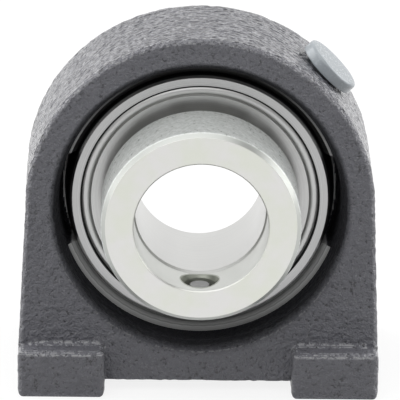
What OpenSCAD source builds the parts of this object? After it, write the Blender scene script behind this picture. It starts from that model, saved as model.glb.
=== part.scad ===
// Short tapped-base bearing unit: a cast housing with a spherical seat, and a sealed insert
// ball bearing that an eccentric collar locks to the shaft.
// Millimetres. The origin is the bearing centre, the shaft lies along Y, the collar side is
// at -Y and the base is below.

/* [Shaft and rings] */
// Diameter of the shaft that the bore takes
shaft_d = 25; // [23:0.5:26]
// Diameter of the outer ring's spherical outside
ring_d = 52; // [51:0.5:55]
// Width of the outer ring
ring_w = 15; // [14:0.5:16.5]
// Wall of the outer ring behind the ball track
track_wall = 2.5; // [2.2:0.1:2.9]
// Height of the outer ring's shoulders beside the ball track
outer_shoulder = 1.5; // [1.1:0.1:1.8]
// Height of the inner ring's shoulders beside the ball track
inner_shoulder = 1.35; // [1:0.05:1.6]
// Width of the bare ring face outside the seal
face_land = 1.9; // [1.5:0.1:2.2]
// Bevel on the edges of both rings
ring_bevel = 0.35; // [0.2:0.05:0.5]

/* [Balls and cage] */
// Ball diameter
ball_d = 7.938; // [7.4:0.001:8.1]
// Number of balls
ball_count = 9; // [7:1:9]
// Radial thickness of the cage
cage_t = 2.6; // [2:0.1:3]
// Depth of the cage's solid ring behind the ball centres
cage_back = 4.5; // [4.3:0.1:4.8]
// How far the cage's horns reach past the ball centres
cage_horn = 1.6; // [1.2:0.1:2]
// Width of the gap between two horns
horn_gap = 2.4; // [1.6:0.1:2.8]

/* [Seals] */
// Depth of the seal recess in each face of the outer ring
seal_depth = 2.3; // [2.2:0.05:2.5]
// Sheet thickness of the two steel washers in each seal
washer_t = 0.45; // [0.35:0.05:0.5]
// Thickness of the rubber washer between them
rubber_t = 0.8; // [0.6:0.05:0.9]
// Width of the raised bead round the outer washer
bead_w = 1.75; // [1.5:0.05:2]
// Open groove between the ring and that bead
groove_w = 0.3; // [0.15:0.05:0.4]

/* [Inner ring nose and collar] */
// How far the seal shoulder reaches past the outer ring's face
nose_l = 2.1; // [1.6:0.1:2.6]
// Length of the eccentric cam on the inner ring's end
cam_l = 4.3; // [3.8:0.1:4.8]
// Wall of the cam over the bore, before its offset
cam_wall = 2.9; // [2.6:0.1:3]
// Eccentricity of the cam and of the collar's recess
cam_offset = 0.8; // [0.6:0.05:0.9]
// Outside diameter of the collar
collar_d = 38; // [37:0.5:40]
// Length of the collar
collar_l = 13.3; // [12.8:0.1:14.5]
// Bevel on the collar's front edge
collar_bevel = 0.9; // [0.6:0.1:1.6]
// Distance of the set screw behind the collar's front face
screw_back = 5.3; // [4.8:0.1:5.4]
// Set screw thread diameter
screw_d = 6; // [5:0.5:6]
// Set screw length
screw_l = 5; // [4.5:0.5:8]
// How far the screw's point lies below the bore
screw_sunk = 0.6; // [0.4:0.1:2.2]
// Width across flats of the screw's socket
socket_w = 3; // [2:0.5:3]
// Diameter of the blind hole that turns the collar
drift_d = 4.5; // [3:0.5:5]

/* [Housing] */
// Height of the shaft centre above the base
axis_h = 36.5; // [36:0.1:40]
// Length of the base
base_l = 69.5; // [68:0.5:74]
// Depth of the feet along the shaft
base_w = 38; // [35:0.5:40]
// Radius of the arch over the bearing
arch_r = 33.5; // [32.5:0.25:34]
// Depth of the arch along the shaft, at its crown
arch_w = 22; // [20.5:0.5:24]
// Depth of the body along the shaft, where it meets the feet
body_w = 29.5; // [27:0.5:31]
// Length of each foot across the shaft
foot_l = 16.9; // [15:0.1:18]
// Height of the feet in front of the body
foot_h = 9.2; // [7:0.1:10]
// How far the base is relieved between the feet
base_relief = 2; // [1:0.25:3]
// Radius of the body's cast edges
edge_r = 0.8; // [0.6:0.1:1.5]
// Radius of the feet's cast edges
foot_r = 1.2; // [0.8:0.1:1.5]
// Radius in the corner between the feet and the body
root_r = 1; // [0.6:0.1:1.5]
// Width of the machined spherical seat
seat_w = 12; // [11:0.5:13]
// Length of the machined lead-in before the seat
lead_l = 2.3; // [1.8:0.1:2.6]
// How far the lead-in opens out
lead_rise = 1.55; // [1.2:0.05:1.8]
// How far the cast mouth stands back outside the seat
mouth_rise = 1.5; // [1.3:0.1:1.8]
// Rounding of the mouth's edge
mouth_r = 1.2; // [0.8:0.1:1.5]
// How far the loading slots reach outside the seat
slot_rise = 1; // [0.6:0.1:1.2]
// Height of the loading slots beyond the ring's width
slot_play = 3.5; // [2:0.5:5]

/* [Fixings and grease hole] */
// Distance between the tapped holes in the base
bolt_pitch = 50.8; // [50:0.1:53]
// Core diameter of the tapped holes
tap_d = 8.5; // [6.8:0.1:8.5]
// Full depth of the tapped holes
tap_l = 16; // [13:0.5:17]
// Angle of the grease hole from the horizontal
grease_angle = 45; // [40:1:60]
// Core diameter of the grease hole
grease_d = 8.6; // [8:0.1:9]
// Diameter of the plug's head
plug_d = 12; // [11:0.1:12.5]
// Thickness of the plug's head
plug_t = 2.15; // [1.5:0.05:3]

/* [Clearances] */
// Outer ring in its seat, on the radius
seat_gap = 0.05; // [0.02:0.01:0.1]
// Ball in its track, on the radius
track_gap = 0.03; // [0.02:0.01:0.06]
// Ball in its cage pocket, on the radius
pocket_gap = 0.15; // [0.1:0.01:0.25]
// Seal lip over the inner ring, on the radius
lip_gap = 0.08; // [0.04:0.01:0.2]
// Seal pieces in their recess and against each other
seal_gap = 0.03; // [0.01:0.01:0.05]
// Steel washers over the inner ring, on the radius
washer_gap = 0.7; // [0.4:0.05:0.9]
// Collar behind and before the cam, along the shaft
collar_gap = 0.35; // [0.2:0.05:0.5]
// Collar recess over the cam, on the radius
cam_play = 0.45; // [0.35:0.05:0.5]
// Collar bore over the shaft, on the radius
collar_play = 0.25; // [0.1:0.05:0.4]
// Screw in its hole and plug in its hole, on the radius
thread_gap = 0.06; // [0.03:0.01:0.1]
// Plug head over the crown of the arch
plug_gap = 0.35; // [0.1:0.05:0.6]
// End of the plug's stem over the outer ring
stem_gap = 2.35; // [1.5:0.05:3]

/* [Hidden] */
$fn = 96;
over = 1;

ring_r = ring_d / 2;
ball_r = ball_d / 2;
half_w = ring_w / 2;
pitch_r = ring_r - track_wall - track_gap - ball_r;
groove_r = 1.04 * ball_r;
outer_track_r = pitch_r + ball_r + track_gap;
inner_track_r = pitch_r - ball_r - track_gap;
land_r = outer_track_r - outer_shoulder;
shoulder_r = inner_track_r + inner_shoulder;
face_r = sqrt(pow(ring_r, 2) - pow(half_w, 2));
seal_r = face_r - face_land;
ball_step = 360 / ball_count;

// The grease groove round the outer ring lies between the track and the rear seal.
lube_at = 4.3;
lube_w = 2;
lube_depth = 0.5;
lube_d = 1.6;

// Places along the shaft, measured from the bearing centre towards the collar.
nose_at = half_w + nose_l;
cam_end = nose_at + cam_l;
collar_back = nose_at + collar_gap;
collar_front = collar_back + collar_l;
recess_end = cam_end + collar_gap;
screw_at = collar_front - screw_back;
bore_r = shaft_d / 2;
bore_bevel = 0.5;
collar_edge = 0.25;
cam_r = bore_r + cam_wall;
collar_bore_r = bore_r + collar_play;
drift_depth = 3;
drift_angle = -30;
screw_sink = 0.5;
sink_reach = 1.2;
sink_slope = 0.6;
sink_l = sink_reach + screw_sink;

seat_r = ring_r + seat_gap;
seat_edge_r = sqrt(pow(seat_r, 2) - pow(seat_w / 2, 2));
lead_r = seat_edge_r + lead_rise;
mouth_face_r = seat_r + mouth_rise;
slot_r = seat_r + slot_rise;
slot_h = ring_w + slot_play;
slot_past = 0.5;

// The sides run from the outer ends of the feet to the arch, a hair inside its tangents.
foot_in = base_l / 2 - foot_l;
foot_top = foot_h - axis_h;
side_blend = 0.06;
side_r = arch_r - side_blend;
side_end = base_l / 2 - side_blend;
corner_reach = norm([side_end, foot_top]);
side_tilt = acos(side_r / corner_reach) - atan2(-foot_top, side_end);
side_l = sqrt(pow(corner_reach, 2) - pow(side_r, 2));

// The front and rear faces lean in towards the crown.
lean = atan((body_w - arch_w) / 2 / (arch_r - foot_top));
face_at_axis = arch_w / 2 + arch_r * tan(lean);
root_sink = 0.1;
drill_point = 0.3 * tap_d;
plug_l = arch_r + plug_gap - ring_r - stem_gap;
plug_rib = 0.5;
plug_rib_count = 3;

BALLS = [for (i = [1 : ball_count]) str("ball_", i)];

// Turns a piece that is drawn round Z so that its axis is the shaft's and +Z is the collar side.
module on_shaft() {
    rotate([90, 0, 0]) children();
}

// Points +Z outwards from the shaft, at an angle from the horizontal.
module outwards(angle) {
    rotate([0, 0, angle]) rotate([0, 90, 0]) children();
}

// What a rounded corner of radius r takes off the corner at the origin, inside -X and -Y.
module corner_waste(r) {
    difference() {
        translate([-r, -r]) square([r + over, r + over]);
        translate([-r, -r]) circle(r);
    }
}

// A rectangle whose chosen corners are rounded: [low x, low y, high x, high y].
module rounded_box(box, r, corners) {
    difference() {
        translate([box[0], box[1]]) square([box[2] - box[0], box[3] - box[1]]);
        for (c = corners)
            translate([c[0] > 0 ? box[2] : box[0], c[1] > 0 ? box[3] : box[1]])
                scale([c[0], c[1]]) corner_waste(r);
    }
}

// What rounds off a corner at the origin, inside -X and -Y, meeting both faces at an angle.
module corner_cut(r) {
    arc_r = 2.6 * r;
    in = 0.86 * arc_r;
    difference() {
        translate([-in, -in]) square([in + over, in + over]);
        translate([-in, -in]) circle(arc_r);
    }
}

// Places what is drawn on the leaning front face of the casting, with +Z outwards from it.
module on_face() {
    translate([0, 0, face_at_axis]) rotate([-lean, 0, 0]) children();
}

// Outline of the casting's body from the front: the arch, its straight sides and the relieved base.
module body_outline() {
    start = [side_r * cos(side_tilt), side_r * sin(side_tilt)];
    base = base_relief - axis_h;
    circle(arch_r);
    polygon([
        start,
        [side_end, foot_top],
        [side_end, base],
        [-side_end, base],
        [-side_end, foot_top],
        [-start[0], start[1]]
    ]);
}

// The casting's body: its outline between the leaning faces, with rounded edges.
module body() {
    difference() {
        linear_extrude(2 * body_w, center = true) body_outline();
        for (t = [0, 1]) mirror([0, 0, t]) on_face() {
            translate([-base_l, -base_l, 0]) cube([2 * base_l, 2 * base_l, body_w]);
            intersection() {
                rotate_extrude() translate([arch_r, 0]) corner_cut(edge_r);
                translate([-base_l, 0, -base_l]) cube(2 * base_l);
            }
            for (s = [0, 1]) mirror([s, 0, 0]) rotate([0, 0, side_tilt]) rotate([90, 0, 0])
                linear_extrude(side_l) translate([side_r, 0]) corner_cut(edge_r);
        }
    }
}

// One foot: a pad under the body, deeper than it, with rounded edges.
module foot() {
    all_corners = [[-1, -1], [-1, 1], [1, -1], [1, 1]];
    intersection() {
        linear_extrude(base_w + over, center = true)
            rounded_box([foot_in, -axis_h, base_l / 2, foot_top], foot_r, all_corners);
        rotate([90, 0, 0]) linear_extrude(2 * base_l, center = true)
            rounded_box([foot_in, -base_w / 2, base_l / 2, base_w / 2], foot_r, all_corners);
        rotate([0, 90, 0]) linear_extrude(base_l)
            rounded_box([-base_w / 2, -2 * axis_h, base_w / 2, foot_top], foot_r, [[-1, 1], [1, 1]]);
    }
}

// The cast fillet in the corner between a foot's top and the body's face.
module foot_root() {
    translate([foot_in + foot_r, foot_top - root_sink, body_w / 2 - root_sink])
        rotate([0, 90, 0]) linear_extrude(foot_l - 3 * foot_r)
            difference() {
                translate([-root_r, 0]) square(root_r);
                translate([-root_r, root_r]) circle(root_r);
            }
}

// Section of everything that is machined or cored out round the shaft.
module cavity_section() {
    intersection() {
        circle(seat_r);
        translate([0, -seat_w / 2]) square([2 * seat_r, seat_w]);
    }
    for (s = [-1, 1]) scale([1, s]) polygon([
        [0, seat_w / 2],
        [seat_edge_r, seat_w / 2],
        [lead_r, seat_w / 2 + lead_l],
        [mouth_face_r, arch_w / 2],
        [mouth_face_r, body_w],
        [0, body_w]
    ]);
}

module tapped_hole() {
    rotate([-90, 0, 0]) {
        translate([0, 0, -over]) cylinder(h = tap_l + over, d = tap_d);
        translate([0, 0, tap_l]) cylinder(h = drill_point, d1 = tap_d, d2 = 0);
    }
}

module housing() {
    color("dimgray") on_shaft() difference() {
        union() {
            body();
            for (s = [0, 1]) mirror([s, 0, 0]) {
                foot();
                for (t = [0, 1]) mirror([0, 0, t]) foot_root();
            }
        }
        rotate_extrude() cavity_section();
        for (t = [0, 1]) mirror([0, 0, t]) on_face()
            rotate_extrude() translate([mouth_face_r, 0]) scale([-1, 1]) corner_cut(mouth_r);
        translate([0, 0, -slot_past]) linear_extrude(body_w) intersection() {
            circle(slot_r);
            square([3 * slot_r, slot_h], center = true);
        }
        outwards(grease_angle) cylinder(h = arch_r + over, d = grease_d);
        for (s = [-1, 1]) translate([s * bolt_pitch / 2, -axis_h, 0]) tapped_hole();
    }
}

module grease_plug() {
    stem_r = grease_d / 2 - thread_gap;
    core_r = stem_r - plug_rib;
    rib_step = plug_l / (plug_rib_count + 0.5);
    color("lightsteelblue") on_shaft() outwards(grease_angle)
        translate([0, 0, arch_r + plug_gap]) union() {
            rotate_extrude() rounded_box([0, 0, plug_d / 2, plug_t], plug_t / 4, [[1, 1]]);
            rotate_extrude() polygon(concat(
                [[0, plug_t / 2], [core_r, plug_t / 2]],
                [for (i = [1 : plug_rib_count]) for (corner = [
                    [core_r, -(i - 0.5) * rib_step],
                    [stem_r, -(i - 0.5) * rib_step],
                    [core_r, -(i + 0.2) * rib_step]
                ]) corner],
                [[core_r, -plug_l], [0, -plug_l]]
            ));
        }
}

// Section of the outer ring, with its ball track and its two seal recesses.
module outer_ring_section() {
    bevel_at = half_w - 2 * ring_bevel;
    difference() {
        intersection() {
            circle(ring_r);
            polygon([
                [0, -half_w],
                [face_r - ring_bevel, -half_w],
                [face_r + ring_bevel, -bevel_at],
                [ring_d, -bevel_at],
                [ring_d, bevel_at],
                [face_r + ring_bevel, bevel_at],
                [face_r - ring_bevel, half_w],
                [0, half_w]
            ]);
        }
        translate([-over, -ring_w]) square([land_r + over, 2 * ring_w]);
        translate([outer_track_r - groove_r, 0]) circle(groove_r);
        for (s = [-1, 1]) scale([1, s])
            translate([0, half_w - seal_depth]) square([seal_r, seal_depth + over]);
    }
}

module outer_ring() {
    color("silver") on_shaft() difference() {
        rotate_extrude() outer_ring_section();
        rotate_extrude() translate([ring_r - lube_depth, -lube_at - lube_w / 2])
            square([2 * lube_depth, lube_w]);
        translate([0, 0, -lube_at]) for (a = [90, 270])
            outwards(a) cylinder(h = ring_r, d = lube_d);
    }
}

module inner_ring() {
    color("silver") on_shaft() difference() {
        union() {
            rotate_extrude() difference() {
                translate([0, -half_w]) rounded_box([0, 0, shoulder_r, half_w + nose_at], ring_bevel,
                    [[1, -1], [1, 1]]);
                translate([inner_track_r + groove_r, 0]) circle(groove_r);
            }
            translate([0, cam_offset, nose_at - over]) cylinder(h = cam_l + over, r = cam_r);
        }
        translate([0, 0, -ring_w]) cylinder(h = ring_w + 2 * cam_end, r = bore_r);
        translate([0, 0, -half_w - over])
            cylinder(h = bore_bevel + over, r1 = bore_r + bore_bevel + over, r2 = bore_r);
        translate([0, 0, cam_end - bore_bevel])
            cylinder(h = bore_bevel + over, r1 = bore_r, r2 = bore_r + bore_bevel + over);
    }
}

module ball_cage() {
    color("khaki") on_shaft() difference() {
        rotate_extrude() translate([pitch_r - cage_t / 2, -cage_back])
            square([cage_t, cage_back + cage_horn]);
        for (i = [0 : ball_count - 1]) {
            rotate([0, 0, 90 + i * ball_step]) translate([pitch_r, 0, 0])
                sphere(ball_r + pocket_gap);
            rotate([0, 0, 90 + (i + 0.5) * ball_step])
                translate([pitch_r - cage_t, -horn_gap / 2, -cage_horn])
                    cube([2 * cage_t, horn_gap, 3 * cage_horn]);
        }
    }
}

// Ball number i, counted from 1 at the top, anticlockwise from the collar side.
module ball(i) {
    color("gainsboro") on_shaft() rotate([0, 0, 90 + (i - 1) * ball_step])
        translate([pitch_r, 0, 0]) sphere(ball_r);
}

// Places a seal piece that is drawn outwards from the recess floor: 1 at the front, -1 at the rear.
module in_recess(s) {
    on_shaft() mirror([0, 0, s > 0 ? 0 : 1]) translate([0, 0, half_w - seal_depth])
        rotate_extrude() children();
}

// The plain steel washer at the bottom of the recess.
module seal_backing(s) {
    color("lightgray") in_recess(s) translate([shoulder_r + washer_gap, seal_gap])
        square([seal_r - seal_gap - shoulder_r - washer_gap, washer_t]);
}

// The rubber washer, whose lip leans outwards on to the inner ring.
module seal_lip(s) {
    from = washer_t + 2 * seal_gap;
    out_r = seal_r - 2 * seal_gap - washer_t;
    tip_r = shoulder_r + lip_gap;
    color("black") in_recess(s) translate([0, from]) polygon([
        [out_r, 0],
        [out_r, rubber_t],
        [shoulder_r + 0.75 * washer_gap, rubber_t],
        [tip_r + 0.3 * washer_gap, 1.4 * rubber_t],
        [tip_r, 1.2 * rubber_t],
        [shoulder_r + 1.4 * washer_gap, 0]
    ]);
}

// The pressed steel cover that shows: a raised bead outside, and a flat web stepped down inside it.
module seal_cover(s) {
    from = washer_t + rubber_t + 3 * seal_gap;
    out_r = seal_r - seal_gap;
    bead_r = seal_r - groove_w;
    bead_in = bead_r - bead_w;
    mid_r = bead_r - bead_w / 2;
    top = seal_depth - 0.1;
    arc_r = 0.75 * bead_w;
    color("lightgray") in_recess(s) {
        intersection() {
            difference() {
                translate([mid_r, top - arc_r]) circle(arc_r);
                translate([mid_r, top - arc_r]) circle(arc_r - washer_t);
            }
            translate([bead_in, from]) square([bead_w, seal_depth]);
        }
        translate([bead_r - washer_t, from]) square([out_r - bead_r + washer_t, washer_t]);
        translate([shoulder_r + washer_gap, from])
            square([bead_in + washer_t - shoulder_r - washer_gap, washer_t]);
    }
}

module locking_collar() {
    collar_r = collar_d / 2;
    back_bevel = collar_bevel / 2;
    color("whitesmoke") on_shaft() difference() {
        rotate_extrude() polygon([
            [0, collar_back],
            [collar_r - back_bevel, collar_back],
            [collar_r, collar_back + back_bevel],
            [collar_r, collar_front - collar_bevel],
            [collar_r - collar_bevel, collar_front],
            [0, collar_front]
        ]);
        cylinder(h = 2 * collar_front, r = collar_bore_r);
        translate([0, cam_offset, 0]) cylinder(h = recess_end, r = cam_r + cam_play);
        translate([0, 0, collar_front - collar_edge])
            cylinder(h = collar_edge + over, r1 = collar_bore_r, r2 = collar_bore_r + collar_edge + over);
        translate([0, 0, screw_at]) outwards(-90) {
            cylinder(h = collar_d, d = screw_d);
            translate([0, 0, collar_bore_r - sink_reach])
                cylinder(h = sink_l, r1 = screw_d / 2 + sink_slope * sink_l, r2 = screw_d / 2);
        }
        translate([0, 0, screw_at]) outwards(drift_angle)
            translate([0, 0, collar_r - drift_depth]) cylinder(h = drift_depth + over, d = drift_d);
    }
}

module set_screw() {
    body_r = screw_d / 2 - thread_gap;
    tip_r = 0.62 * body_r;
    tip_l = body_r - tip_r;
    socket_l = screw_l / 2;
    color("slategray") on_shaft() translate([0, 0, screw_at]) outwards(-90)
        translate([0, 0, collar_bore_r + screw_sunk]) difference() {
            rotate_extrude() polygon([
                [0, 0],
                [tip_r, 0],
                [body_r, tip_l],
                [body_r, screw_l - tip_l / 2],
                [body_r - tip_l / 2, screw_l],
                [0, screw_l]
            ]);
            translate([0, 0, screw_l - socket_l])
                cylinder(h = socket_l + over, d = socket_w / cos(30), $fn = 6);
        }
}

housing();
grease_plug();
outer_ring();
inner_ring();
ball_cage();
for (i = [1 : ball_count]) ball(i);
seal_cover(1);  // front_seal_cover
seal_lip(1);  // front_seal_lip
seal_backing(1);  // front_seal_backing
seal_cover(-1);  // rear_seal_cover
seal_lip(-1);  // rear_seal_lip
seal_backing(-1);  // rear_seal_backing
locking_collar();
set_screw();
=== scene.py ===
"""Looks of a tapped-base pillow block bearing unit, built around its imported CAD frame.

Everything is in metres in the CAD frame: the shaft runs along Y, the locking collar is at -Y, +Z is up.
"""
import itertools
import math

import bmesh
import bpy
import numpy as np
from mathutils import Matrix, Vector


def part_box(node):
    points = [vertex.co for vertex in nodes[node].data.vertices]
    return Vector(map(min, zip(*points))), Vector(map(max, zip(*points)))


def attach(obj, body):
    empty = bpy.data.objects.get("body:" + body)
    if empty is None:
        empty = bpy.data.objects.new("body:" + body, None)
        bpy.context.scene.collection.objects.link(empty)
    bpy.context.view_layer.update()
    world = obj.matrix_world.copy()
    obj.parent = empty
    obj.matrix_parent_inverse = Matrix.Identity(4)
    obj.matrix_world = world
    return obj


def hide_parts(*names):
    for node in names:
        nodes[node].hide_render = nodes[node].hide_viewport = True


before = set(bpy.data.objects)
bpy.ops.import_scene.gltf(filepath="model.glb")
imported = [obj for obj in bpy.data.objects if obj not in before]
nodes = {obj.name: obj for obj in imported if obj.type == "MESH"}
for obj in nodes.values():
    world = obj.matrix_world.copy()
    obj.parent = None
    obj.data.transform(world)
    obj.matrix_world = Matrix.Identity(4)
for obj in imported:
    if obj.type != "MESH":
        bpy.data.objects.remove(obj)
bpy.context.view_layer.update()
scene = bpy.context.scene

MM = 0.001
HAIR = 0.05 * MM

# Sizes read from the frame
HOUSING_LOW, HOUSING_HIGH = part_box("housing")
BASE_Z = HOUSING_LOW.z
COLLAR_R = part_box("locking_collar")[1].x
RING_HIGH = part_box("outer_ring")[1]
RING_FACE_R = math.sqrt(RING_HIGH.z ** 2 - RING_HIGH.y ** 2)
SEAL_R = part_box("front_seal_cover")[1].x
SCREW_LOW, SCREW_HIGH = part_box("set_screw")
SCREW_R = (SCREW_HIGH.x - SCREW_LOW.x) / 2
SCREW_Y = (SCREW_LOW.y + SCREW_HIGH.y) / 2
SCREW_L = SCREW_HIGH.z - SCREW_LOW.z

# Places on the casting that the frame's boxes don't give
LEAD_END = 8.3 * MM
LEAD_LAP = 0.1 * MM
MOUTH_R = 28.0 * MM
MOUTH_EDGE = 1.5 * MM
MOUTH_FADE = 2.2 * MM
MOUTH_TOP_EDGE = 0.8 * MM
MOUTH_TOP_FADE = 0.8 * MM
FOOT_TOP = BASE_Z + 9.5 * MM
FOOT_FADE = 1.5 * MM
SLOT_FLOOR_R = 26.3 * MM
SLOT_HALF_H = 9.3 * MM
BOLT_X = 25.4 * MM
TAP_R = 4.25 * MM
TAP_DEPTH = 16 * MM
TAP_PITCH = 1.5 * MM
TAP_THREAD = 0.7 * MM
TAP_BAND = 0.1 * MM
GREASE_R = 4.3 * MM
GREASE_FROM = 24 * MM

# Painted shade on the bare iron, darker higher up: the seat's end along the shaft, and heights on the seat
# and its lead-in
SEAT_SHADE_END = 7.5 * MM
SHADE_FROM = -6 * MM
SHADE_TO = 10 * MM
LEAD_SHADE_FROM = 12 * MM
LEAD_SHADE_TO = 25 * MM

# Places on the bearing that the frame's boxes don't give
SEAL_GROOVE = 0.3 * MM
GROOVE_SHADE_FADE = 0.06 * MM
GAP_SHADE_FADE = 0.15 * MM
COLLAR_BEVEL = 0.9 * MM
COLLAR_OUTSIDE = 0.25 * MM
PLATE_FADE = 0.1 * MM
BORE_R = 12.75 * MM
BORE_FADE = 0.15 * MM
HOLE_SINK_R = 3.9 * MM

# Cast skin
REMESH_DEPTH = 8
REMESH_FILL = 0.95
WELD = 0.001 * MM
CAST_CREASE = math.radians(50)
SKIN_FADE = 0.6 * MM
SKIN_LUMP = 3.2 * MM
SKIN_LUMP_DEPTH = 0.05 * MM
SKIN_GRAIN = 0.9 * MM
SKIN_GRAIN_DEPTH = 0.2 * MM
OUTSIDE_TILT = 0.5
OUTSIDE_FADE = 0.1
# How sharply the skin bends and how far it faces up, for paler edges of rubbed paint and painted highlight
EDGE_BEND_FROM = 0.004 * MM
EDGE_BEND_TO = 0.016 * MM
HIGHLIGHT_TILT = 0.4

# Hash of the skin's noise
LATTICE_PRIMES = np.array((73856093, 19349663, 83492791))
SEED_PRIME = 49979687
FIRST_MIX = 1274126177
SECOND_MIX = 2246822519
WORD = 0xFFFFFFFF

# Set screw
SCREW_PITCH = 1.0 * MM
SCREW_THREAD = 0.5 * MM
SCREW_TIP = 0.62
CUP_R = 1.2 * MM
CUP_FLAT_R = CUP_R / 8
CUP_DEPTH = 0.3 * MM
SOCKET_HALF = 1.5 * MM
SOCKET_DEPTH = 2.5 * MM
SCREW_SIDES = 48
THREAD_STEPS = 10
SCREW_CREASE = math.radians(35)
POINT_FLOOR = SCREW_HIGH.z - CUP_DEPTH
POINT_WORN_FROM = POINT_FLOOR - 0.3 * MM
POINT_WORN_TO = POINT_FLOOR - 0.1 * MM

# Camera
TARGET = Vector((0.15, 0, -2.96)) * MM
DISTANCE = 871.3 * MM
LENS = 405
SENSOR_WIDTH = 36
CLIP_START = 0.01
CLIP_END = 50
YAW = math.radians(-1.15)
PITCH = math.radians(20.54)
ROLL = math.radians(0.99)

# Colours of the casting
PAINT_DARK = (0.138, 0.139, 0.164, 1)
PAINT_PALE = (0.174, 0.175, 0.202, 1)
PAINT_GRIT = (0.25, 0.25, 0.27, 1)
# Painted glints: pale and dark flecks on the outside of the casting
GLINT_PALE = (0.33, 0.33, 0.35, 1)
GLINT_DARK = (0.072, 0.072, 0.086, 1)
# Paler paint at upper edges and creases: partly rubbed paint, partly painted highlight
PAINT_RUBBED_HIGHLIGHT = (0.48, 0.48, 0.5, 1)
# Painted shade in the pits of the skin
PIT_SHADE = (0.045, 0.045, 0.052, 1)
# Black painted shade for the cast mouth and the loading slots
RECESS_SHADE_BLACK = (0.017, 0.017, 0.021, 1)
IRON_DARK = (0.38, 0.38, 0.38, 1)
IRON_PALE = (0.85, 0.85, 0.85, 1)
# Painted shade on the bare iron, darker higher up
IRON_SHADE_DARK = (0.03, 0.03, 0.03, 1)

# Colours of the bearing
# Painted shade on the outer ring's sphere, in its gap to the seat
STEEL_GAP_SHADE = (0.16, 0.16, 0.16, 1)
# Painted shade for the groove between the outer ring and its seals
GROOVE_SHADE_BLACK = (0.012, 0.012, 0.012, 1)
ZINC_GREEN = (0.71, 0.725, 0.66, 1)
ZINC_GREY = (0.755, 0.75, 0.735, 1)
ZINC_BEVEL = (0.52, 0.535, 0.51, 1)
ZINC_BORE = (0.66, 0.67, 0.64, 1)
# Duller plating with painted shade in the set screw's hole
ZINC_HOLE_SHADE = (0.46, 0.48, 0.42, 1)
SPANGLE_DARK = (0.60, 0.63, 0.60, 1)
SPANGLE_PALE = (0.92, 0.94, 0.93, 1)
OXIDE_DARK = (0.05, 0.05, 0.052, 1)
OXIDE_PALE = (0.1, 0.098, 0.094, 1)
POINT_DARK = (0.3, 0.3, 0.3, 1)
POINT_PALE = (0.42, 0.42, 0.42, 1)

# Grain of the finishes
PATCH = 6 * MM
PIT = 0.8 * MM
GRIT = 0.42 * MM
SAND = 0.62 * MM
SAND_RELIEF = 0.8 * MM
SAND_STRETCH = (0.7, 1, 0.7)
STAIN = 5 * MM
SPANGLE = 0.9 * MM
OXIDE_CLOUD = 0.6 * MM
MOULD_CLOUD = 4 * MM
SEAT_PITCH = 0.25 * MM
COLLAR_PITCH = 0.3 * MM
MARK_SHARE = 0.55
CAST_BUMP = 0.4 * MM
STEEL_BUMP = 0.02 * MM
ZINC_BUMP = 0.03 * MM
STEEL_EDGE = 0.12 * MM
ZINC_EDGE = 0.15 * MM
MOULD_EDGE = 0.25 * MM
EDGE_SAMPLES = 4
NOISE_LOW = 0.3
NOISE_HIGH = 0.7


# Node helpers

def feed(tree, socket, value):
    """Links a socket to an input, or sets the input's own value."""
    if isinstance(value, bpy.types.NodeSocket):
        tree.links.new(value, socket)
    else:
        socket.default_value = value


def node(tree, kind, inputs=None, **settings):
    """A new node with its settings and its inputs, which are given by name or by number."""
    made = tree.nodes.new(kind)
    for name, value in settings.items():
        setattr(made, name, value)
    for name, value in (inputs or {}).items():
        feed(tree, made.inputs[name], value)
    return made


def maths(tree, operation, a, b=0.0, clamp=False):
    return node(tree, "ShaderNodeMath", {0: a, 1: b}, operation=operation, use_clamp=clamp).outputs[0]


def times(tree, a, b):
    return maths(tree, "MULTIPLY", a, b)


def mix_colour(tree, factor, a, b):
    made = node(tree, "ShaderNodeMix", data_type="RGBA", clamp_factor=True)
    feed(tree, made.inputs[0], factor)
    feed(tree, made.inputs[6], a)
    feed(tree, made.inputs[7], b)
    return made.outputs[2]


def mix_value(tree, factor, a, b):
    made = node(tree, "ShaderNodeMix", data_type="FLOAT", clamp_factor=True)
    feed(tree, made.inputs[0], factor)
    feed(tree, made.inputs[2], a)
    feed(tree, made.inputs[3], b)
    return made.outputs[0]


def grey(value, tint=(1, 1, 1)):
    return (value * tint[0], value * tint[1], value * tint[2], 1)


def remap(tree, value, low, high, to_low=0.0, to_high=1.0):
    return node(tree, "ShaderNodeMapRange", {0: value, 1: low, 2: high, 3: to_low, 4: to_high}).outputs[0]


def spread(tree, value, to_low=0.0, to_high=1.0):
    """Stretches the range that noise mostly takes to another one."""
    return remap(tree, value, NOISE_LOW, NOISE_HIGH, to_low, to_high)


def place(tree):
    """The point on the piece, in the CAD frame's metres."""
    return node(tree, "ShaderNodeTexCoord").outputs["Object"]


def height_of(tree, point):
    return node(tree, "ShaderNodeSeparateXYZ", {0: point}).outputs[2]


def length_of(tree, vector):
    return node(tree, "ShaderNodeVectorMath", {0: vector}, operation="LENGTH").outputs["Value"]


def stored(tree, name):
    """A value that the mesh keeps under that name."""
    return node(tree, "ShaderNodeAttribute", attribute_name=name).outputs["Fac"]


def noise(tree, point, cell, detail=2.0, rough=0.5):
    """Noise whose cells are about that wide, from 0 to 1."""
    return node(tree, "ShaderNodeTexNoise", {
        "Vector": point, "Scale": 1 / cell, "Detail": detail, "Roughness": rough}).outputs[0]


def from_shaft(tree, point):
    """Distance from the shaft's axis, and place along it."""
    apart = node(tree, "ShaderNodeSeparateXYZ", {0: point})
    flat = node(tree, "ShaderNodeCombineXYZ", {0: apart.outputs[0], 2: apart.outputs[2]}).outputs[0]
    return length_of(tree, flat), apart.outputs[1]


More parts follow.
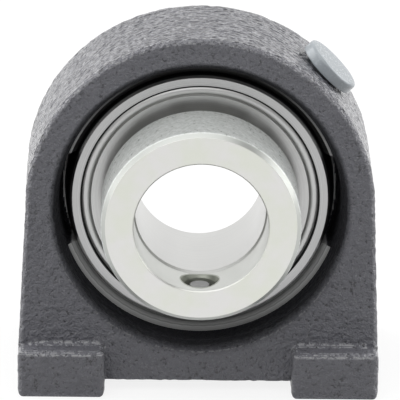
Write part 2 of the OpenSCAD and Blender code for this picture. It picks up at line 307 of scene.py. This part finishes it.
def from_screw(tree, point):
    """Distance from the set screw's upright axis, and 1 on the screw's side of the shaft or else 0."""
    apart = node(tree, "ShaderNodeSeparateXYZ", {0: point})
    along = maths(tree, "SUBTRACT", apart.outputs[1], SCREW_Y)
    flat = node(tree, "ShaderNodeCombineXYZ", {0: apart.outputs[0], 1: along}).outputs[0]
    return length_of(tree, flat), maths(tree, "LESS_THAN", apart.outputs[2], 0.0)


def turned(tree, point, pitch):
    """Noise that only changes across the marks of a lathe: with the radius, and along the shaft."""
    across = maths(tree, "ADD", *from_shaft(tree, point))
    return node(tree, "ShaderNodeTexNoise", {"W": across, "Scale": 1 / pitch, "Detail": 3.0},
                noise_dimensions="1D").outputs[0]


def rounded_edges(tree, radius):
    return node(tree, "ShaderNodeBevel", {"Radius": radius}, samples=EDGE_SAMPLES).outputs[0]


def bump(tree, height, strength, depth, normal=None):
    made = node(tree, "ShaderNodeBump", {"Height": height, "Strength": strength, "Distance": depth})
    if normal is not None:
        feed(tree, made.inputs["Normal"], normal)
    return made.outputs[0]


def finish_of(name, inputs):
    """A material whose shader takes the inputs that a function of its tree makes."""
    material = bpy.data.materials.new(name)
    material.use_nodes = True
    tree = material.node_tree
    shader = tree.nodes["Principled BSDF"]
    for socket, value in inputs(tree).items():
        feed(tree, shader.inputs[socket], value)
    return material


# Materials

def painted_skin(tree, at, sand, grit, pits):
    """Colour of the paint: patchy, with painted glints as pale and dark flecks outside, paler at upper edges
    and creases (partly rubbed paint, partly painted highlight), and painted shade in the pits.
    """
    outside = stored(tree, "outside")
    tone = mix_colour(tree, noise(tree, at, PATCH, detail=3.0), PAINT_DARK, PAINT_PALE)
    paint = mix_colour(tree, remap(tree, grit, low=0.55, high=0.75), tone, PAINT_GRIT)
    # Pale and dark flecks along the sand grain on the outside: painted glints of the rough skin
    glint_pale = times(tree, outside, remap(tree, sand, low=0.52, high=0.62))
    dark = times(tree, outside, remap(tree, sand, low=0.5, high=0.4))
    # Paler at upper edges and creases: partly rubbed paint, partly painted highlight
    rubbed_highlight = times(tree, stored(tree, "rub_highlight"), remap(tree, sand, low=0.45, high=0.55))
    paint = mix_colour(tree, glint_pale, paint, GLINT_PALE)
    paint = mix_colour(tree, dark, paint, GLINT_DARK)
    paint = mix_colour(tree, rubbed_highlight, paint, PAINT_RUBBED_HIGHLIGHT)
    # Darkest in the hollows of the bump: painted shade in the pits
    return mix_colour(tree, remap(tree, pits, low=0.41, high=0.3), paint, PIT_SHADE)


def machined_iron(tree, at, marks):
    """Colour of bare iron: ringed by the tool, and darker higher up as painted shade."""
    high = height_of(tree, at)
    aside = maths(tree, "ABSOLUTE", from_shaft(tree, at)[1])
    lead = remap(tree, aside, SEAT_SHADE_END, SEAT_SHADE_END + HAIR)
    seat_shade = remap(tree, high, SHADE_FROM, SHADE_TO)
    lead_shade = remap(tree, high, LEAD_SHADE_FROM, LEAD_SHADE_TO)
    ringed = mix_colour(tree, remap(tree, marks, low=0.35, high=0.65), IRON_DARK, IRON_PALE)
    # Darker higher up on the seat and the lead-in: painted shade
    return mix_colour(tree, mix_value(tree, lead, seat_shade, lead_shade), ringed, IRON_SHADE_DARK)


def casting_paint():
    """Dark grey paint over sand-cast iron, black painted shade in the mouth and slots, and bare iron where
    it is machined.
    """
    def inputs(tree):
        at = place(tree)
        bare = stored(tree, "bare")
        recess = stored(tree, "recess")
        pits = noise(tree, at, PIT, rough=0.6)
        grit = noise(tree, at, GRIT, detail=3.0, rough=0.6)
        drawn = node(tree, "ShaderNodeVectorMath", {0: at, 1: SAND_STRETCH}, operation="MULTIPLY").outputs[0]
        sand = noise(tree, drawn, SAND, rough=0.6)
        marks = turned(tree, at, SEAT_PITCH)
        # The mouth and the slots are painted black: painted shade
        paint = mix_colour(tree, recess, painted_skin(tree, at, sand, grit, pits), RECESS_SHADE_BLACK)
        rough_skin = maths(tree, "ADD", grit, times(tree, pits, 1.5))
        sandy_skin = times(tree, noise(tree, drawn, SAND_RELIEF, detail=0.0), 2.6)
        skin = mix_value(tree, stored(tree, "outside"), rough_skin, sandy_skin)
        height = mix_value(tree, bare, skin, times(tree, marks, 0.1))
        uneven = bump(tree, height, strength=1.0, depth=CAST_BUMP)
        patchy = spread(tree, noise(tree, at, PATCH, detail=3.0), to_low=0.3, to_high=0.42)
        gloss = mix_value(tree, recess, patchy, 0.7)
        return {
            "Base Color": mix_colour(tree, bare, paint, machined_iron(tree, at, marks)),
            "Metallic": times(tree, bare, 0.5),
            "Roughness": mix_value(tree, bare, gloss, 0.42),
            "IOR": 1.35,
            "Normal": uneven,
            "Coat Weight": maths(tree, "SUBTRACT", 1.0, maths(tree, "MAXIMUM", recess, bare)),
            "Coat Roughness": 0.16,
            "Coat IOR": 1.5,
            "Coat Normal": uneven,
        }
    return finish_of("housing_paint", inputs)


def turned_steel(name, dark, light, rough, pitch, tint=(1, 1, 1), mark=0.12, gap_shade_from=1.0,
                 metal=1.0):
    """Steel finished on a lathe, with its marks running round the shaft, and dark outside a radius: painted
    shade for the outer ring's sphere in its gap to the seat.

    The groove between the outer ring and its seals is painted black: painted shade in the crevice.
    """
    def inputs(tree):
        at = place(tree)
        marks = turned(tree, at, pitch)
        stain = noise(tree, at, STAIN, detail=3.0)
        shade = maths(tree, "ADD", times(tree, marks, MARK_SHARE), times(tree, stain, 1 - MARK_SHARE))
        colour = mix_colour(tree, spread(tree, shade), grey(dark, tint), grey(light, tint))
        radius = from_shaft(tree, at)[0]
        # Dark outside the radius: painted shade in the gap between the ring's sphere and the seat
        gap_shade = remap(tree, radius, gap_shade_from, gap_shade_from + GAP_SHADE_FADE)
        colour = mix_colour(tree, gap_shade, colour, STEEL_GAP_SHADE)
        off_groove = maths(tree, "ABSOLUTE", maths(tree, "SUBTRACT", radius, SEAL_R - SEAL_GROOVE / 2))
        # Black in the groove between the ring and the seals: painted shade
        groove_shade = remap(tree, off_groove, SEAL_GROOVE / 2 + GROOVE_SHADE_FADE, SEAL_GROOVE / 2)
        return {
            "Base Color": mix_colour(tree, groove_shade, colour, GROOVE_SHADE_BLACK),
            "Metallic": metal,
            "Roughness": spread(tree, stain, to_low=rough - 0.05, to_high=rough + 0.06),
            "Anisotropic": 0.45,
            "Tangent": node(tree, "ShaderNodeTangent", direction_type="RADIAL", axis="Y").outputs[0],
            "Normal": bump(tree, marks, mark, STEEL_BUMP, rounded_edges(tree, STEEL_EDGE)),
        }
    return finish_of(name, inputs)


def mottled_zinc():
    """Zinc plating over a turned collar: a pale face, a spangled, greener outside and a screw hole that is
    duller plating and darker with painted shade.
    """
    def inputs(tree):
        at = place(tree)
        marks = turned(tree, at, COLLAR_PITCH)
        clouds = noise(tree, at, STAIN, detail=3.0, rough=0.55)
        spangle = noise(tree, at, SPANGLE, detail=3.0, rough=0.7)
        radius = from_shaft(tree, at)[0]
        away, screw_side = from_screw(tree, at)
        outside = remap(tree, radius, COLLAR_R - COLLAR_OUTSIDE, COLLAR_R - HAIR)
        bevel = remap(tree, radius, COLLAR_R - COLLAR_BEVEL, COLLAR_R - COLLAR_BEVEL + PLATE_FADE)
        in_bore = remap(tree, radius, BORE_R + BORE_FADE, BORE_R + HAIR)
        # The screw hole: duller plating, darkened as painted shade
        hole = times(tree, screw_side, remap(tree, away, HOLE_SINK_R, HOLE_SINK_R - PLATE_FADE))
        inner = times(tree, hole, maths(tree, "SUBTRACT", 1.0, outside))
        face = mix_colour(tree, remap(tree, clouds, low=0.35, high=0.65), ZINC_GREEN, ZINC_GREY)
        face = mix_colour(tree, bevel, face, ZINC_BEVEL)
        rim = mix_colour(tree, spread(tree, spangle), SPANGLE_DARK, SPANGLE_PALE)
        plated = mix_colour(tree, in_bore, mix_colour(tree, outside, face, rim), ZINC_BORE)
        relief = maths(tree, "ADD", marks, times(tree, times(tree, spangle, outside), 2.0))
        face_rough = spread(tree, clouds, to_low=0.3, to_high=0.38)
        rim_rough = spread(tree, spangle, to_low=0.25, to_high=0.5)
        return {
            "Base Color": mix_colour(tree, inner, plated, ZINC_HOLE_SHADE),
            "Metallic": mix_value(tree, maths(tree, "MAXIMUM", outside, inner), 1.0, 0.4),
            "Roughness": mix_value(tree, outside, face_rough, rim_rough),
            "Normal": bump(tree, relief, 0.12, ZINC_BUMP, rounded_edges(tree, ZINC_EDGE)),
        }
    return finish_of("collar_zinc", inputs)


def oxide_steel():
    """Blackened screw steel, worn bright at its point."""
    def inputs(tree):
        at = place(tree)
        worn = remap(tree, height_of(tree, at), POINT_WORN_FROM, POINT_WORN_TO)
        cloud = noise(tree, at, OXIDE_CLOUD, detail=3.0)
        dark = mix_colour(tree, cloud, OXIDE_DARK, OXIDE_PALE)
        bright = mix_colour(tree, cloud, POINT_DARK, POINT_PALE)
        return {
            "Base Color": mix_colour(tree, worn, dark, bright),
            "Metallic": mix_value(tree, worn, 1.0, 0.5),
            "Roughness": spread(tree, cloud, to_low=0.35, to_high=0.5),
            "Normal": bump(tree, cloud, strength=0.2, depth=STEEL_BUMP),
        }
    return finish_of("screw_steel", inputs)


def moulded(name, dark, light, rough, cell, depth, ior=1.5):
    """A moulded plastic or rubber with a fine texture."""
    def inputs(tree):
        at = place(tree)
        cloud = noise(tree, at, MOULD_CLOUD, detail=3.0)
        fine = noise(tree, at, cell, detail=3.0, rough=0.6)
        return {
            "Base Color": mix_colour(tree, spread(tree, cloud), dark, light),
            "Roughness": spread(tree, fine, to_low=rough - 0.06, to_high=rough + 0.06),
            "IOR": ior,
            "Normal": bump(tree, fine, 0.3, depth, rounded_edges(tree, MOULD_EDGE)),
        }
    return finish_of(name, inputs)


MATERIALS = {
    "housing_paint": casting_paint(),
    "plug_plastic": moulded("plug_plastic", dark=(0.36, 0.40, 0.43, 1), light=(0.42, 0.46, 0.49, 1),
                            rough=0.24, cell=0.5 * MM, depth=0.02 * MM, ior=1.75),
    "ring_steel": turned_steel("ring_steel", dark=0.44, light=0.53, rough=0.36, pitch=0.22 * MM,
                               gap_shade_from=RING_FACE_R),
    "bore_steel": turned_steel("bore_steel", dark=0.60, light=0.68, rough=0.34, pitch=0.3 * MM,
                               tint=(1, 1, 0.98)),
    "ball_steel": turned_steel("ball_steel", dark=0.62, light=0.70, rough=0.1, pitch=0.4 * MM, mark=0.02),
    "cage_plastic": moulded("cage_plastic", dark=(0.42, 0.34, 0.2, 1), light=(0.52, 0.43, 0.27, 1),
                            rough=0.45, cell=0.4 * MM, depth=0.03 * MM),
    "seal_steel": turned_steel("seal_steel", dark=0.58, light=0.68, rough=0.34, pitch=0.3 * MM,
                               tint=(1, 1, 0.99), mark=0.04, metal=0.8),
    "seal_rubber": moulded("seal_rubber", dark=(0.014, 0.014, 0.015, 1), light=(0.026, 0.026, 0.027, 1),
                           rough=0.55, cell=0.3 * MM, depth=0.04 * MM),
    "collar_zinc": mottled_zinc(),
    "screw_steel": oxide_steel(),
}

NODE_SLOTS = {
    "housing": "housing_paint", "grease_plug": "plug_plastic", "outer_ring": "ring_steel",
    "inner_ring": "bore_steel", "ball_cage": "cage_plastic", "locking_collar": "collar_zinc",
    "set_screw": "screw_steel",
}
for side in ("front", "rear"):
    NODE_SLOTS[side + "_seal_cover"] = "seal_steel"
    NODE_SLOTS[side + "_seal_lip"] = "seal_rubber"
    NODE_SLOTS[side + "_seal_backing"] = "seal_steel"


def dress_cad_nodes():
    """Gives each CAD node its finish; the nodes that NODE_SLOTS leaves out are the balls."""
    for name, piece in nodes.items():
        slot = NODE_SLOTS.get(name, "ball_steel")
        piece.data.materials.clear()
        piece.data.materials.append(MATERIALS[slot])


# Housing

def value_noise(points, cell, seed):
    """Smooth noise from -1 to 1 at each point, from a hashed lattice, the same in each run."""
    at = points / cell
    low = np.floor(at).astype(np.int64)
    part = at - low
    part = part * part * (3 - 2 * part)
    total = np.zeros(len(points))
    for corner in itertools.product((0, 1), repeat=3):
        key = low + np.array(corner)
        mixed = np.bitwise_xor.reduce(key * LATTICE_PRIMES, axis=1) ^ (seed * SEED_PRIME)
        mixed = ((mixed ^ (mixed >> 13)) * FIRST_MIX) & WORD
        mixed = ((mixed ^ (mixed >> 16)) * SECOND_MIX) & WORD
        weight = np.prod(np.where(np.array(corner) == 1, part, 1 - part), axis=1)
        total += weight * (mixed ^ (mixed >> 15)) / WORD
    return 2 * total - 1


def ramp(value):
    return np.clip(value, 0, 1)


def from_axis(points):
    """Distance of each point from the shaft's axis."""
    return np.hypot(points[:, 0], points[:, 2])


def from_tap(points):
    """Distance of each point from the nearer tapped hole's axis."""
    return np.hypot(np.abs(points[:, 0]) - BOLT_X, points[:, 1])


def from_grease(points):
    """Distance from the grease hole's axis, and how far out along it."""
    out = (points[:, 0] + points[:, 2]) * math.sqrt(0.5)
    return np.hypot((points[:, 0] - points[:, 2]) * math.sqrt(0.5), points[:, 1]), out


def beside_tap(points):
    """True up to the height that a tapped hole reaches."""
    return points[:, 2] < BASE_Z + TAP_DEPTH + TAP_R


def cast_weight(points):
    """1 on the cast skin, down to 0 at machined surfaces."""
    depth = np.abs(points[:, 1])
    past_lead = (depth - LEAD_END) / SKIN_FADE
    past_mouth = (from_axis(points) - MOUTH_R) / SKIN_FADE
    weight = ramp(np.maximum(past_lead, past_mouth))
    weight *= ramp((points[:, 2] - BASE_Z) / SKIN_FADE)
    weight *= np.where(beside_tap(points), ramp((from_tap(points) - TAP_R) / SKIN_FADE), 1)
    away, out = from_grease(points)
    weight *= np.where(out > GREASE_FROM, ramp((away - GREASE_R) / SKIN_FADE), 1)
    return weight


def is_bare(points):
    """1 on machined iron: the seat and its lead-in, the base, the tapped holes and the grease hole."""
    radius = from_axis(points)
    depth = np.abs(points[:, 1])
    slot = (np.abs(points[:, 2]) < SLOT_HALF_H) & (radius > SLOT_FLOOR_R)
    bare = (radius < MOUTH_R) & (depth < LEAD_END) & ~slot
    bare |= points[:, 2] < BASE_Z + HAIR
    bare |= beside_tap(points) & (from_tap(points) < TAP_R + TAP_THREAD)
    away, out = from_grease(points)
    bare |= (out > GREASE_FROM) & (away < GREASE_R + HAIR)
    return bare


def in_recess(points):
    """Painted shade for the cast mouth and the loading slots: 1 there, down to 0 over the mouth's edge.

    The edge is soft at the mouth's lowest point and sharper towards its top.
    """
    radius = from_axis(points)
    slot = (np.abs(points[:, 2]) < SLOT_HALF_H) & (radius > SLOT_FLOOR_R) & (radius < MOUTH_R)
    cast = np.abs(points[:, 1]) > LEAD_END - LEAD_LAP
    up = ramp((points[:, 2] / MOUTH_R + 1) / 2)
    edge = MOUTH_EDGE + (MOUTH_TOP_EDGE - MOUTH_EDGE) * up
    fade = MOUTH_FADE + (MOUTH_TOP_FADE - MOUTH_FADE) * up
    mouth = np.where(cast, ramp((MOUTH_R + edge - radius) / fade), 0)
    return np.maximum(mouth, slot)


def is_outside(points, outward):
    """1 on the arch and the sides above the feet, down to 0 on the front and rear faces."""
    tilted = ramp((OUTSIDE_TILT - np.abs(outward[:, 1])) / OUTSIDE_FADE)
    return tilted * ramp((points[:, 2] - FOOT_TOP) / FOOT_FADE)


def cast_depth(points):
    """How far the sand has pulled the skin in: lumps and grain."""
    lumps = (1 + value_noise(points, SKIN_LUMP, 1)) / 2
    grain = (1 + value_noise(points, SKIN_GRAIN, 2)) / 2
    return SKIN_LUMP_DEPTH * lumps + SKIN_GRAIN_DEPTH * grain


def tap_thread(points):
    """Moves the walls of the tapped holes out into a thread."""
    side = np.sign(points[:, 0])
    across = points[:, 0] - side * BOLT_X
    height = points[:, 2] - BASE_Z
    away = from_tap(points)
    inside = (np.abs(away - TAP_R) < TAP_BAND) & (height < TAP_DEPTH - TAP_PITCH)
    phase = (height / TAP_PITCH - np.arctan2(points[:, 1], across) / (2 * math.pi)) % 1
    out = np.where(inside, TAP_THREAD * (1 - np.abs(2 * phase - 1)), 0) / np.maximum(away, TAP_R)
    moved = points.copy()
    moved[:, 0] += across * out
    moved[:, 1] += points[:, 1] * out
    return moved


def remeshed(source, depth):
    """A closed, even copy of a CAD node's mesh that keeps its sharp edges."""
    work = bmesh.new()
    work.from_mesh(source.data)
    bmesh.ops.remove_doubles(work, verts=work.verts, dist=WELD)
    mesh = bpy.data.meshes.new(source.name + "_even")
    work.to_mesh(mesh)
    work.free()
    piece = bpy.data.objects.new(source.name + "_even", mesh)
    scene.collection.objects.link(piece)
    even = piece.modifiers.new("even", "REMESH")
    even.mode = "SHARP"
    even.octree_depth = depth
    even.scale = REMESH_FILL
    even.use_remove_disconnected = False
    made = bpy.data.meshes.new_from_object(piece.evaluated_get(bpy.context.evaluated_depsgraph_get()))
    bpy.data.objects.remove(piece)
    bpy.data.meshes.remove(mesh)
    return made


def vectors(items, key):
    """One vector for each item of a mesh's list, as rows."""
    flat = np.zeros(len(items) * 3, np.float32)
    items.foreach_get(key, flat)
    return flat.reshape(-1, 3).astype(float)


def store(mesh, name, domain, values):
    """Keeps a value for each point or face of a mesh, for its material."""
    mesh.attributes.new(name, "FLOAT", domain).data.foreach_set("value", values.astype(np.float32))


def edge_rub_highlight(mesh, points, outward):
    """1 at upper edges and creases, where the mesh bends most, down to 0 on even skin: partly rubbed paint,
    partly painted highlight.
    """
    pairs = np.zeros(len(mesh.edges) * 2, np.int32)
    mesh.edges.foreach_get("vertices", pairs)
    a, b = pairs.reshape(-1, 2).T
    total = np.zeros_like(points)
    count = np.zeros(len(points))
    for near, far in ((a, b), (b, a)):
        np.add.at(total, near, points[far])
        np.add.at(count, near, 1)
    fall = np.sum((points - total / np.maximum(count, 1)[:, None]) * outward, axis=1)
    bent = ramp((np.abs(fall) - EDGE_BEND_FROM) / (EDGE_BEND_TO - EDGE_BEND_FROM))
    return bent * ramp(outward[:, 2] / HIGHLIGHT_TILT)


def cast_housing():
    """The housing with its cast skin and its tapped threads, in place of the CAD node."""
    mesh = remeshed(nodes["housing"], REMESH_DEPTH)
    mesh.name = "housing_casting"
    points = vectors(mesh.vertices, "co")
    outward = vectors(mesh.vertex_normals, "vector")
    bare = is_bare(vectors(mesh.polygons, "center"))
    # Where the black painted shade goes: the mouth and the slots
    recess = in_recess(points)
    outside = is_outside(points, outward)
    weight = cast_weight(points)
    # Paler upper edges and creases: partly rubbed paint, partly painted highlight
    rub_highlight = edge_rub_highlight(mesh, points, outward) * weight
    points = points - outward * (cast_depth(points) * weight)[:, None]
    points = tap_thread(points)
    points = np.clip(points, np.array(HOUSING_LOW), np.array(HOUSING_HIGH))
    mesh.vertices.foreach_set("co", points.astype(np.float32).ravel())
    store(mesh, "bare", "FACE", bare)
    store(mesh, "recess", "POINT", recess)
    store(mesh, "rub_highlight", "POINT", rub_highlight)
    store(mesh, "outside", "POINT", outside)
    mesh.update()
    mesh.shade_smooth()
    mesh.set_sharp_from_angle(angle=CAST_CREASE)
    mesh.materials.clear()
    mesh.materials.append(MATERIALS["housing_paint"])
    piece = bpy.data.objects.new("housing_casting", mesh)
    scene.collection.objects.link(piece)
    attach(piece, "housing")
    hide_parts("housing")


# Set screw

def screw_rings():
    """Rings of points down the screw, from its cup point to the floor of its socket."""
    turn = np.arange(SCREW_SIDES) * 2 * math.pi / SCREW_SIDES
    flat = (turn + math.pi / 6) % (math.pi / 3) - math.pi / 6
    socket = SOCKET_HALF / np.cos(flat)
    tip_r = SCREW_TIP * SCREW_R
    tip_l = SCREW_R - tip_r
    thread_l = SCREW_L - tip_l - SCREW_THREAD
    rings = [(CUP_FLAT_R, CUP_DEPTH), (CUP_R, 0), (tip_r, 0)]
    for step in range(math.ceil(thread_l / SCREW_PITCH * THREAD_STEPS) + 1):
        down = min(step * SCREW_PITCH / THREAD_STEPS, thread_l)
        phase = (down / SCREW_PITCH - turn / (2 * math.pi)) % 1
        rings.append((SCREW_R - SCREW_THREAD * np.abs(2 * phase - 1), tip_l + down))
    rings += [
        (SCREW_R - SCREW_THREAD, SCREW_L),
        (socket, SCREW_L),
        (socket, SCREW_L - SOCKET_DEPTH),
        (CUP_FLAT_R, SCREW_L - SOCKET_DEPTH),
    ]
    return [(radius * np.cos(turn), radius * np.sin(turn), down) for radius, down in rings]


def threaded_screw():
    """The set screw with its thread, cup point and hexagon socket, in place of the CAD node."""
    work = bmesh.new()
    rows = []
    for across, along, down in screw_rings():
        rows.append([work.verts.new((x, SCREW_Y + y, SCREW_HIGH.z - down)) for x, y in zip(across, along)])
    for upper, lower in zip(rows, rows[1:]):
        for i in range(SCREW_SIDES):
            j = (i + 1) % SCREW_SIDES
            work.faces.new((upper[i], lower[i], lower[j], upper[j]))
    work.faces.new(rows[0])
    work.faces.new(rows[-1][::-1])
    bmesh.ops.recalc_face_normals(work, faces=work.faces)
    mesh = bpy.data.meshes.new("threaded_screw")
    work.to_mesh(mesh)
    work.free()
    mesh.shade_smooth()
    mesh.set_sharp_from_angle(angle=SCREW_CREASE)
    mesh.materials.append(MATERIALS["screw_steel"])
    piece = bpy.data.objects.new("threaded_screw", mesh)
    scene.collection.objects.link(piece)
    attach(piece, "set_screw")
    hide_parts("set_screw")


# Stage

FLOOR_HALF = 6.0
FLOOR_GAP = 0.05 * MM
FLOOR_BOUNCE = 0.25
FLOOR_WHITE = 0.2
FLOOR_GLOW = 0.84
AMBIENT = 0.2
ROOM_DARK = 0.4


def seen_directly(tree):
    """1 for rays that show the background: from the camera, in gloss and through clear things."""
    path = node(tree, "ShaderNodeLightPath")
    seen = maths(tree, "ADD", path.outputs["Is Camera Ray"], path.outputs["Is Glossy Ray"], True)
    return maths(tree, "ADD", seen, path.outputs["Is Transmission Ray"], True)


def white_floor():
    """A white floor that keeps a soft shadow, and that is clear from below."""
    material = bpy.data.materials.new("floor_white")
    material.use_nodes = True
    tree = material.node_tree
    tree.nodes.clear()
    seen = seen_directly(tree)
    card = node(tree, "ShaderNodeBsdfDiffuse", {
        "Color": mix_colour(tree, seen, grey(FLOOR_BOUNCE), grey(FLOOR_WHITE))}).outputs[0]
    glow = node(tree, "ShaderNodeEmission", {
        "Color": grey(1), "Strength": times(tree, seen, FLOOR_GLOW)}).outputs[0]
    top = node(tree, "ShaderNodeAddShader", {0: card, 1: glow}).outputs[0]
    below = node(tree, "ShaderNodeNewGeometry").outputs["Backfacing"]
    clear = node(tree, "ShaderNodeBsdfTransparent").outputs[0]
    both = node(tree, "ShaderNodeMixShader", {0: below, 1: top, 2: clear})
    node(tree, "ShaderNodeOutputMaterial", {"Surface": both.outputs[0]})
    return material


def floor():
    mesh = bpy.data.meshes.new("floor")
    h = FLOOR_HALF
    z = BASE_Z - FLOOR_GAP
    mesh.from_pydata([(-h, -h, z), (h, -h, z), (h, h, z), (-h, h, z)], [], [(0, 1, 2, 3)])
    mesh.materials.append(white_floor())
    piece = bpy.data.objects.new("floor", mesh)
    scene.collection.objects.link(piece)


def white_world():
    """White all round, weaker as ambient light, and in reflections a dim room in front and overhead."""
    world = bpy.data.worlds.new("studio")
    world.use_nodes = True
    tree = world.node_tree
    way = node(tree, "ShaderNodeSeparateXYZ", {0: node(tree, "ShaderNodeTexCoord").outputs["Generated"]})
    front = remap(tree, way.outputs[1], low=-0.1, high=-0.7)
    above = remap(tree, way.outputs[2], low=-0.15, high=0.15)
    overhead = remap(tree, way.outputs[2], low=0.42, high=0.7)
    glossy = node(tree, "ShaderNodeLightPath").outputs["Is Glossy Ray"]
    dim = maths(tree, "MAXIMUM", times(tree, front, above), overhead)
    white = mix_value(tree, times(tree, dim, glossy), 1.0, ROOM_DARK)
    strength = mix_value(tree, seen_directly(tree), AMBIENT, white)
    feed(tree, tree.nodes["Background"].inputs["Color"], grey(1))
    feed(tree, tree.nodes["Background"].inputs["Strength"], strength)
    scene.world = world


def softbox(name, at, width, height, level):
    """An area lamp that points at the unit and lights a surface square to it to that level."""
    at = Vector(at)
    lamp = bpy.data.lights.new(name, "AREA")
    lamp.shape = "RECTANGLE"
    lamp.size = width
    lamp.size_y = height
    lamp.energy = level * math.pi ** 2 * at.length_squared
    piece = bpy.data.objects.new(name, lamp)
    piece.location = at
    piece.rotation_mode = "QUATERNION"
    piece.rotation_quaternion = (-at).to_track_quat("-Z", "Y")
    scene.collection.objects.link(piece)


def photo_camera():
    """A camera at the photograph's viewing angle, fitted to its frame."""
    turn = Matrix.Rotation(YAW, 3, "Z")
    level = turn @ Vector((1, 0, 0))
    ahead = turn @ Vector((0, math.cos(PITCH), -math.sin(PITCH)))
    upright = turn @ Vector((0, math.sin(PITCH), math.cos(PITCH)))
    right = level * math.cos(ROLL) + upright * math.sin(ROLL)
    up = upright * math.cos(ROLL) - level * math.sin(ROLL)
    data = bpy.data.cameras.new("photo_camera")
    data.lens = LENS
    data.sensor_width = SENSOR_WIDTH
    data.clip_start = CLIP_START
    data.clip_end = CLIP_END
    camera = bpy.data.objects.new("photo_camera", data)
    axes = Matrix((right, up, -ahead)).transposed().to_4x4()
    camera.matrix_world = Matrix.Translation(TARGET - ahead * DISTANCE) @ axes
    scene.collection.objects.link(camera)
    scene.camera = camera


dress_cad_nodes()
cast_housing()
threaded_screw()
floor()
white_world()
softbox("key_overhead", at=(-0.1, 0.4, 0.75), width=1.2, height=1.0, level=0.35)
softbox("front_top", at=(-0.2, -0.4, 0.85), width=1.3, height=1.3, level=0.65)
softbox("left_side", at=(-0.8, 0.25, 0.3), width=0.8, height=0.6, level=0.5)
softbox("right_side", at=(0.8, 0.25, 0.3), width=0.8, height=0.6, level=0.6)
photo_camera()
scene.view_settings.view_transform = "Standard"
